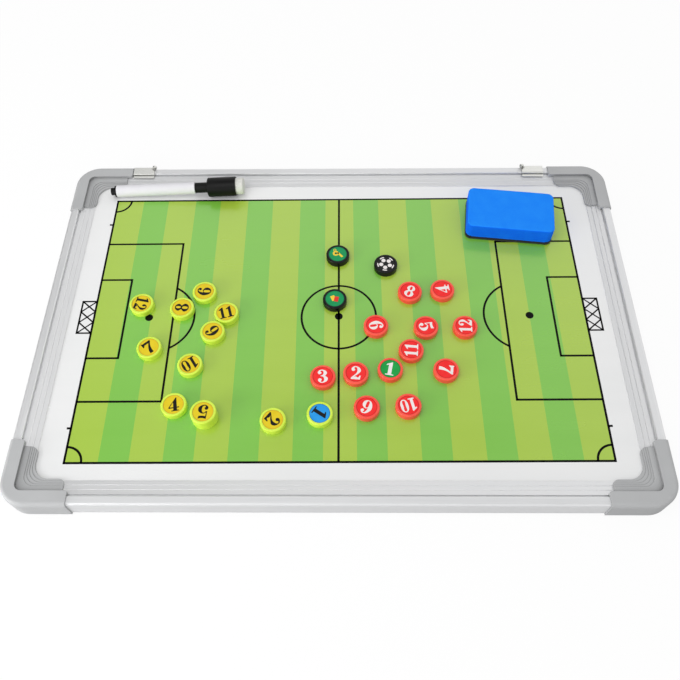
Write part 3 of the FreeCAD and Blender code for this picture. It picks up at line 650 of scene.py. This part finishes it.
YELLOW_TURNS = (-124, -128, 40, 10, 178, 88, 42, 85, -50, -147, 16, -102)
RED_TURNS = (-11, -5, 3, 98, -78, -80, -98, -25, -22, -166, 85, 88)
numbered = [("yellow", n, turn, black_print, blue_rim_shade if n == 1 else amber_rim_shade)
            for n, turn in zip(team, YELLOW_TURNS)]
numbered += [("red", n, turn, white_print, green_rim_shade if n == 1 else red_rim_shade)
             for n, turn in zip(team, RED_TURNS)]
for colour, n, turn, ink, rim_shade_ink in numbered:
    middle, level = label_place(*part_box(f"{colour}_counter_{n}"))
    number_piece = draw_number(str(n), middle.x, middle.y, level, math.radians(turn), ink)
    numeral_and_rim_shade = start_piece(f"{colour}_print_{n}")
    numeral_and_rim_shade.data.materials.append(rim_shade_ink)
    # A thin darker ring round the label's edge is painted shade from the cup's rim.
    hoop(middle.x, middle.y, RIM_SHADE_RADIUS, RIM_SHADE_WIDTH, level, steps=RIM_SHADE_STEPS)
    bpy.ops.object.mode_set(mode="OBJECT")
    number_piece.select_set(True)
    bpy.ops.object.join()
    bpy.ops.object.mode_set(mode="EDIT")
    end_film(numeral_and_rim_shade, PRINT, f"{colour}_{n}")


# Ball and officials' prints: white panels on black for the ball, a whistle and two cards for the officials.
# They are screened like the numerals, and what lies on top is one film higher.
yellow_print = label_print("yellow_print", srgb(240, 200, 52), srgb(248, 212, 66))
card_red_print = label_print("card_red_print", srgb(220, 44, 36), srgb(230, 56, 44))
# This ink draws the whistle's window. As a ring at the label's rim it is painted shade from the cup's rim.
deep_green_ink_and_rim_shade = label_print("deep_green_ink_and_rim_shade", srgb(0, 96, 58), srgb(4, 108, 66))

PANELS = 5
PANEL_SIDES = 6
PANEL_START = math.radians(46)
PANEL_REACH = 3.6 * MM
PANEL = 1.85 * MM
PANEL_ROUND = 0.5 * MM
OUTER_PANEL_REACH = 6.3 * MM
OUTER_PANEL = 0.9 * MM
OUTER_PANEL_HALF = math.radians(16)
middle, level = label_place(*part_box("ball_counter"))
ball_print = start_piece("ball_print")
ball_print.data.materials.append(white_print)
for panel in range(PANELS):
    angle = PANEL_START + panel * math.tau / PANELS
    panel_x = middle.x + PANEL_REACH * math.cos(angle)
    panel_y = middle.y + PANEL_REACH * math.sin(angle)
    dot(panel_x, panel_y, PANEL, level, corners=PANEL_SIDES)
    turn_drawn(angle, panel_x, panel_y, level)
    bpy.ops.mesh.bevel(offset=PANEL_ROUND, offset_type="OFFSET", segments=3, affect="VERTICES")
    hoop(middle.x, middle.y, OUTER_PANEL_REACH, OUTER_PANEL, level)
    start = angle - OUTER_PANEL_HALF
    stop = angle + OUTER_PANEL_HALF
    keep_side(middle.x, middle.y, level, -math.sin(start), math.cos(start))
    keep_side(middle.x, middle.y, level, math.sin(stop), -math.cos(stop))
end_film(ball_print, PRINT, "ball")

WHISTLE_TURN = math.radians(-48)
WHISTLE_BODY = 2.4 * MM
WHISTLE_BODY_X = -1.6 * MM
WHISTLE_BODY_Y = -0.7 * MM
WHISTLE_WINDOW = 0.95 * MM
MOUTHPIECE = (5.8 * MM, 1.7 * MM)
MOUTHPIECE_X = 1.7 * MM
MOUTHPIECE_Y = 0.85 * MM
WHISTLE_RING = 0.95 * MM
WHISTLE_RING_X = -4.6 * MM
WHISTLE_RING_Y = 0.9 * MM
WHISTLE_RING_LINE = 0.5 * MM
middle, level = label_place(*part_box("official_counter_1"))
whistle_print_and_rim_shade = start_piece("whistle_print_and_rim_shade")
whistle_print_and_rim_shade.data.materials.append(yellow_print)
whistle_print_and_rim_shade.data.materials.append(deep_green_ink_and_rim_shade)
dot(middle.x + WHISTLE_BODY_X, middle.y + WHISTLE_BODY_Y, WHISTLE_BODY, level)
rectangle(middle.x + MOUTHPIECE_X, middle.y + MOUTHPIECE_Y, *MOUTHPIECE, level)
hoop(middle.x + WHISTLE_RING_X, middle.y + WHISTLE_RING_Y, WHISTLE_RING, WHISTLE_RING_LINE, level, steps=32)
dot(middle.x + WHISTLE_BODY_X, middle.y + WHISTLE_BODY_Y, WHISTLE_WINDOW, level + PRINT)
whistle_print_and_rim_shade.active_material_index = 1
bpy.ops.object.material_slot_assign()
bpy.ops.mesh.select_all(action="SELECT")
turn_drawn(WHISTLE_TURN, middle.x, middle.y, level)
# The ring round the label's edge is painted shade from the cup's rim.
hoop(middle.x, middle.y, RIM_SHADE_RADIUS, RIM_SHADE_WIDTH, level, steps=RIM_SHADE_STEPS)
bpy.ops.mesh.select_linked()
bpy.ops.object.material_slot_assign()
end_film(whistle_print_and_rim_shade, PRINT, "official_1")

CARD = (3.3 * MM, 4.6 * MM)
CARDS = (
    (-1.2 * MM, 0.5 * MM, math.radians(24), 0),
    (1.2 * MM, -0.4 * MM, math.radians(-12), 1),
)
middle, level = label_place(*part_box("official_counter_2"))
cards_print_and_rim_shade = start_piece("cards_print_and_rim_shade")
for ink in (yellow_print, card_red_print, deep_green_ink_and_rim_shade):
    cards_print_and_rim_shade.data.materials.append(ink)
for card_x, card_y, turn, ink in CARDS:
    card_level = level + ink * PRINT
    rectangle(middle.x + card_x, middle.y + card_y, *CARD, card_level)
    turn_drawn(turn, middle.x + card_x, middle.y + card_y, card_level)
    cards_print_and_rim_shade.active_material_index = ink
    bpy.ops.object.material_slot_assign()
# The ring round the label's edge is painted shade from the cup's rim.
hoop(middle.x, middle.y, RIM_SHADE_RADIUS, RIM_SHADE_WIDTH, level, steps=RIM_SHADE_STEPS)
bpy.ops.mesh.select_linked()
cards_print_and_rim_shade.active_material_index = 2
bpy.ops.object.material_slot_assign()
end_film(cards_print_and_rim_shade, PRINT, "official_2")


# Marker pen: a white barrel, a black tail plug and a black cap whose wide end holds a magnet and a felt.
# The plastics are moulded, and the nib and its ink core are bonded fibre inside.
white_plastic = dress(
    "white_plastic", speckle, {"Cloud": 60, "Grain": 2600}, (srgb(219, 218, 222), srgb(226, 225, 229)),
    roughness=(0.45, 0.55), bump=(0.04, 0.0001), plain={"Specular IOR Level": 0.3}, soft=0.3 * MM,
)
black_plastic = dress(
    "black_plastic", speckle, {"Cloud": 60, "Grain": 2400}, (srgb(7, 7, 7), srgb(14, 14, 14)),
    roughness=(0.36, 0.5), bump=(0.06, 0.0001), plain={"Specular IOR Level": 0.2}, soft=0.3 * MM,
)
ink_fibre = dress(
    "ink_fibre", speckle, {"Cloud": 900, "Grain": 2400}, (srgb(20, 20, 24), srgb(44, 44, 50)),
    roughness=(0.8, 0.95), bump=(0.4, 0.0003),
)
show("pen_barrel", white_plastic)
show("pen_nib_holder", white_plastic)
show("pen_tail_plug", black_plastic)
show("pen_cap", black_plastic)
show("pen_ink_core", ink_fibre)
show("pen_nib", ink_fibre)
show("pen_cap_magnet", ferrite)


# Pen felt: a plug of pressed white felt, glued into the wide end of the cap to wipe small mistakes away.
# It is cut from a rod, so its end edge is worn round and its surface is uneven.
felt_fibres, entry, end = start_effect("felt_fibres", ("Cloud", "Fibre"))
cloud = noise_in(felt_fibres, entry, "Cloud", detail=3)
hairs = noise_in(felt_fibres, entry, "Fibre", detail=5, stretch=(1, 0.35, 1), turn=0.7)
wire(felt_fibres, mix_in(felt_fibres, cloud, hairs, share=0.5), "Value", end, "Tone")
wire(felt_fibres, hairs, 0, end, "Height")


def soften(piece, voxel, lump, depth):
    """Gives a firm soft block its worn edges and slightly lumpy surface."""
    bpy.ops.object.mode_set(mode="OBJECT")
    melt = piece.modifiers.new("melt", "REMESH")
    melt.mode = "VOXEL"
    melt.voxel_size = voxel
    bpy.ops.object.modifier_apply(modifier=melt.name)
    lumps = bpy.data.textures.new(piece.name, "CLOUDS")
    lumps.noise_scale = lump
    uneven = piece.modifiers.new("uneven", "DISPLACE")
    uneven.texture = lumps
    uneven.texture_coords = "LOCAL"
    uneven.strength = depth
    bpy.ops.object.modifier_apply(modifier=uneven.name)
    bpy.ops.object.shade_smooth()


def pick_edges(piece, wanted):
    """Selects the edges whose two ends pass a test, and leaves edit mode on."""
    bpy.ops.mesh.select_mode(type="EDGE")
    bpy.ops.mesh.select_all(action="DESELECT")
    bpy.ops.object.mode_set(mode="OBJECT")
    for line in piece.data.edges:
        line.select = wanted(*(piece.data.vertices[v].co for v in line.vertices))
    bpy.ops.object.mode_set(mode="EDIT")


white_felt = dress(
    "white_felt", felt_fibres, {"Cloud": 500, "Fibre": 1500}, (srgb(208, 208, 202), srgb(225, 225, 219)),
    roughness=(0.9, 1.0), bump=(0.5, 0.0003), plain={"Sheen Weight": 0.2},
)
PEN_YAW = math.radians(1)
PEN_RISE = math.radians(2.194)
PEN_FELT_RADIUS = 6.8 * MM
PEN_FELT_LENGTH = 9.5 * MM
PEN_FELT_EDGE = 0.9 * MM
low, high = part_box("pen_cap_felt")
middle = (low + high) / 2
bpy.ops.object.select_all(action="DESELECT")
bpy.ops.mesh.primitive_cylinder_add(
    vertices=64, radius=PEN_FELT_RADIUS, depth=PEN_FELT_LENGTH, location=(0, 0, 0)
)
pen_felt = bpy.context.object
pen_felt.name = "pen_felt"
bpy.ops.object.mode_set(mode="EDIT")
pick_edges(pen_felt, lambda start, stop: min(start.z, stop.z) > 0)
bpy.ops.mesh.bevel(offset=PEN_FELT_EDGE, segments=4)
soften(pen_felt, voxel=0.35 * MM, lump=1.5 * MM, depth=0.12 * MM)
pen_felt.location = middle
pen_felt.rotation_euler = (0, math.pi / 2 - PEN_RISE, PEN_YAW)
bpy.ops.object.transform_apply(location=True, rotation=True, scale=True)
pen_felt.data.materials.append(white_felt)
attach(pen_felt, "cap")
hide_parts("pen_cap_felt")


# Eraser: a block of blue closed-cell foam with a bar magnet let into it, glued onto a pad of black felt.
# Both are die-cut from sheet, so the upright corners are round, and the cut sides of the foam show coarser
# cells.
# The sides are also painted a deeper blue than the top, which is painted shade.
foam_cells, entry, end = start_effect("foam_cells", ("Cloud", "Cell"))
cloud = noise_in(foam_cells, entry, "Cloud", detail=4)
cells = add_node(foam_cells, "ShaderNodeTexVoronoi")
wire(foam_cells, entry, "Vector", cells, "Vector")
wire(foam_cells, entry, "Cell", cells, "Scale")
wire(foam_cells, mix_in(foam_cells, cloud, cells, share=0.35), "Value", end, "Tone")
wire(foam_cells, cells, "Distance", end, "Height")

blue_foam = dress(
    "blue_foam", foam_cells, {"Cloud": 120, "Cell": 1300}, (srgb(22, 132, 253), srgb(36, 144, 255)),
    roughness=(0.7, 0.9), bump=(0.25, 0.0002), plain={"Specular IOR Level": 0.1},
)
cut_foam_painted_shade = dress(
    "cut_foam_painted_shade", foam_cells, {"Cloud": 120, "Cell": 1000}, (srgb(6, 102, 251), srgb(16, 116, 255)),
    roughness=(0.75, 0.95), bump=(0.4, 0.0002), plain={"Specular IOR Level": 0.1},
)
black_felt = dress(
    "black_felt", felt_fibres, {"Cloud": 500, "Fibre": 1600}, (srgb(8, 11, 12), srgb(26, 31, 32)),
    roughness=(0.9, 1.0), bump=(0.6, 0.0003), plain={"Sheen Weight": 0.15},
)
ERASER_YAW = math.radians(-6.4)
FOAM_SIZE = (69 * MM, 41 * MM)
FOAM_CORNER = 5 * MM
FOAM_EDGE = 0.8 * MM
CUT_SIDE_PAINTED_SHADE = 0.6
FELT_SIZE = (69.8 * MM, 41.8 * MM)
FELT_CORNER = 5.4 * MM
FELT_EDGE = 0.3 * MM
FELT_LIFT = 0.1 * MM


def eraser_layer(name, width, depth, low_z, high_z, corner, top_edge):
    """A block with round upright corners and a rolled top edge, about the origin."""
    bpy.ops.object.select_all(action="DESELECT")
    bpy.ops.mesh.primitive_cube_add(size=1, location=(0, 0, 0))
    layer = bpy.context.object
    layer.name = name
    bpy.ops.object.mode_set(mode="EDIT")
    bpy.ops.transform.resize(value=(width, depth, high_z - low_z), center_override=(0, 0, 0))
    pick_edges(layer, lambda start, stop: start.z * stop.z < 0)
    bpy.ops.mesh.bevel(offset=corner, segments=10)
    pick_edges(layer, lambda start, stop: min(start.z, stop.z) > 0)
    bpy.ops.mesh.bevel(offset=top_edge, segments=4)
    return layer


def lay_eraser(layer, node, finish, low_z, high_z):
    """Stands a layer of the eraser at its place and lets it ride."""
    low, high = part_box(node)
    middle = (low + high) / 2
    layer.location = (middle.x, middle.y, (low_z + high_z) / 2)
    layer.rotation_euler.z = ERASER_YAW
    bpy.ops.object.transform_apply(location=True, rotation=True, scale=True)
    layer.data.materials.append(finish)
    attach(layer, "eraser")
    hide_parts(node)


low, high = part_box("eraser_foam")
foam = eraser_layer("foam_block", *FOAM_SIZE, low.z, high.z, FOAM_CORNER, FOAM_EDGE)
soften(foam, voxel=0.5 * MM, lump=14 * MM, depth=0.3 * MM)
lay_eraser(foam, "eraser_foam", blue_foam, low.z, high.z)
foam.data.materials.append(cut_foam_painted_shade)
# The upright sides get the cut finish: coarser cells, and a darker blue that is painted shade.
for face in foam.data.polygons:
    face.material_index = 1 if abs(face.normal.z) < CUT_SIDE_PAINTED_SHADE else 0
low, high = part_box("eraser_felt")
felt_low = low.z + FELT_LIFT
felt_high = high.z + FELT_LIFT
felt = eraser_layer("felt_pad", *FELT_SIZE, felt_low, felt_high, FELT_CORNER, FELT_EDGE)
soften(felt, voxel=0.5 * MM, lump=1.6 * MM, depth=0.2 * MM)
lay_eraser(felt, "eraser_felt", black_felt, felt_low, felt_high)
show("eraser_magnet", ferrite)


# Studio: a plain white floor, soft light from all round, a soft lamp above and a low one at the front left.
# The background is white, and what metal and lacquer mirror of it darkens overhead and to the left.
MIRRORED_HEIGHTS = ((0.6, 1.0), (0.74, 1.3), (0.84, 0.9), (0.94, 0.35))
MIRRORED_LEFT = {"From Min": -0.5, "From Max": -0.22, "To Min": 0.05, "To Max": 1.0}
FILL = 0.74
FLOOR_WIDTH = 12
FLOOR_DROP = 0.05 * MM
FLOOR_TONE = {"To Min": 0.6, "To Max": 0.95}


def seen_rays(tree, direct, mirrored):
    """How far a ray sees the plain white: straight or through a clear piece, and in a reflection."""
    path = add_node(tree, "ShaderNodeLightPath")
    clear = add_node(tree, "ShaderNodeMath", operation="MAXIMUM")
    straight = add_node(tree, "ShaderNodeMath", {1: direct}, operation="MULTIPLY")
    both = add_node(tree, "ShaderNodeMath", {1: mirrored}, operation="MULTIPLY_ADD")
    wire(tree, path, "Is Camera Ray", clear, 0)
    wire(tree, path, "Is Transmission Ray", clear, 1)
    wire(tree, clear, "Value", straight, 0)
    wire(tree, path, "Is Glossy Ray", both, 0)
    wire(tree, straight, "Value", both, 2)
    return both


scene = bpy.context.scene
scene.view_settings.view_transform = "Standard"
world = bpy.data.worlds.new("studio")
scene.world = world
world.use_nodes = True
tree = world.node_tree
tree.nodes.clear()
where = add_node(tree, "ShaderNodeTexCoord")
way = add_node(tree, "ShaderNodeSeparateXYZ")
overhead = add_node(tree, "ShaderNodeValToRGB")
for height, bright in MIRRORED_HEIGHTS[1:-1]:
    overhead.color_ramp.elements.new(height)
for element, (height, bright) in zip(overhead.color_ramp.elements, MIRRORED_HEIGHTS):
    element.position = height
    element.color = (bright, bright, bright, 1)
sideways = add_node(tree, "ShaderNodeMapRange", MIRRORED_LEFT, interpolation_type="SMOOTHSTEP")
backdrop = add_node(tree, "ShaderNodeMath", operation="MULTIPLY")
wire(tree, where, "Generated", way, "Vector")
wire(tree, way, "Z", overhead, "Fac")
wire(tree, way, "X", sideways, "Value")
wire(tree, overhead, "Color", backdrop, 0)
wire(tree, sideways, "Result", backdrop, 1)
straight = add_node(tree, "ShaderNodeLightPath")
shown = add_node(tree, "ShaderNodeMath", operation="MAXIMUM")
wire(tree, backdrop, "Value", shown, 0)
wire(tree, straight, "Is Camera Ray", shown, 1)
fill = add_node(tree, "ShaderNodeBackground", {"Color": (1, 1, 1, 1), "Strength": FILL})
white = add_node(tree, "ShaderNodeBackground", {"Strength": 1.0})
wire(tree, shown, "Value", white, "Color")
choice = add_node(tree, "ShaderNodeMixShader")
out = add_node(tree, "ShaderNodeOutputWorld")
wire(tree, seen_rays(tree, direct=1.0, mirrored=1.0), "Value", choice, "Fac")
tree.links.new(fill.outputs["Background"], choice.inputs[1])
tree.links.new(white.outputs["Background"], choice.inputs[2])
wire(tree, choice, "Shader", out, "Surface")

bpy.ops.object.select_all(action="DESELECT")
bpy.ops.mesh.primitive_plane_add(size=FLOOR_WIDTH, location=(0, 0, -FLOOR_DROP))
floor = bpy.context.object
floor.name = "floor"
floor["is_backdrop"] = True
floor_white = bpy.data.materials.new("floor_white")
floor_white.use_nodes = True
tree = floor_white.node_tree
shader = tree.nodes["Principled BSDF"]
straight = add_node(tree, "ShaderNodeLightPath")
tone = add_node(tree, "ShaderNodeMapRange", FLOOR_TONE)
wire(tree, straight, "Is Camera Ray", tone, "Value")
wire(tree, tone, "Result", shader, "Base Color")
shader.inputs["Roughness"].default_value = 0.9
shader.inputs["Specular IOR Level"].default_value = 0.0
glow = add_node(tree, "ShaderNodeEmission", {"Color": (1, 1, 1, 1), "Strength": 1.0})
choice = add_node(tree, "ShaderNodeMixShader")
wire(tree, seen_rays(tree, direct=0.9, mirrored=0.3), "Value", choice, "Fac")
tree.links.new(shader.outputs["BSDF"], choice.inputs[1])
tree.links.new(glow.outputs["Emission"], choice.inputs[2])
wire(tree, choice, "Shader", tree.nodes["Material Output"], "Surface")
floor.data.materials.append(floor_white)


def lamp(name, place, aim, width, power):
    """A large soft lamp that looks at a point and isn't seen itself."""
    light = bpy.data.lights.new(name, "AREA")
    light.shape = "SQUARE"
    light.size = width
    light.energy = power
    holder = bpy.data.objects.new(name, light)
    scene.collection.objects.link(holder)
    holder.location = place
    holder.rotation_euler = (Vector(aim) - Vector(place)).to_track_quat("-Z", "Y").to_euler()
    holder.visible_camera = False


lamp("key", place=(-0.4, -0.3, 1.2), aim=(0, 0, 0), width=0.7, power=3.1)
lamp("side", place=(-0.75, -0.45, 0.14), aim=(-0.15, -0.1, 0), width=0.5, power=5.0)

CAMERA_PLACE = (8.92 * MM, -298.51 * MM, 475.6 * MM)
LENS = 38.137
SENSOR = 36
camera_data = bpy.data.cameras.new("camera")
camera_data.lens = LENS
camera_data.sensor_width = SENSOR
camera_data.clip_start = 0.01
camera = bpy.data.objects.new("camera", camera_data)
scene.collection.objects.link(camera)
elevation = math.radians(59.122)
yaw = math.radians(1.582)
roll = math.radians(-1.439)
level_right = Vector((math.cos(yaw), math.sin(yaw), 0))
back = Vector((
    math.sin(yaw) * math.cos(elevation), -math.cos(yaw) * math.cos(elevation), math.sin(elevation)
))
level_up = back.cross(level_right)
right = math.cos(roll) * level_right + math.sin(roll) * level_up
up = math.cos(roll) * level_up - math.sin(roll) * level_right
stand = Matrix.Translation(CAMERA_PLACE)
camera.matrix_world = stand @ Matrix((right, up, back)).transposed().to_4x4()
scene.camera = camera

low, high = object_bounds()
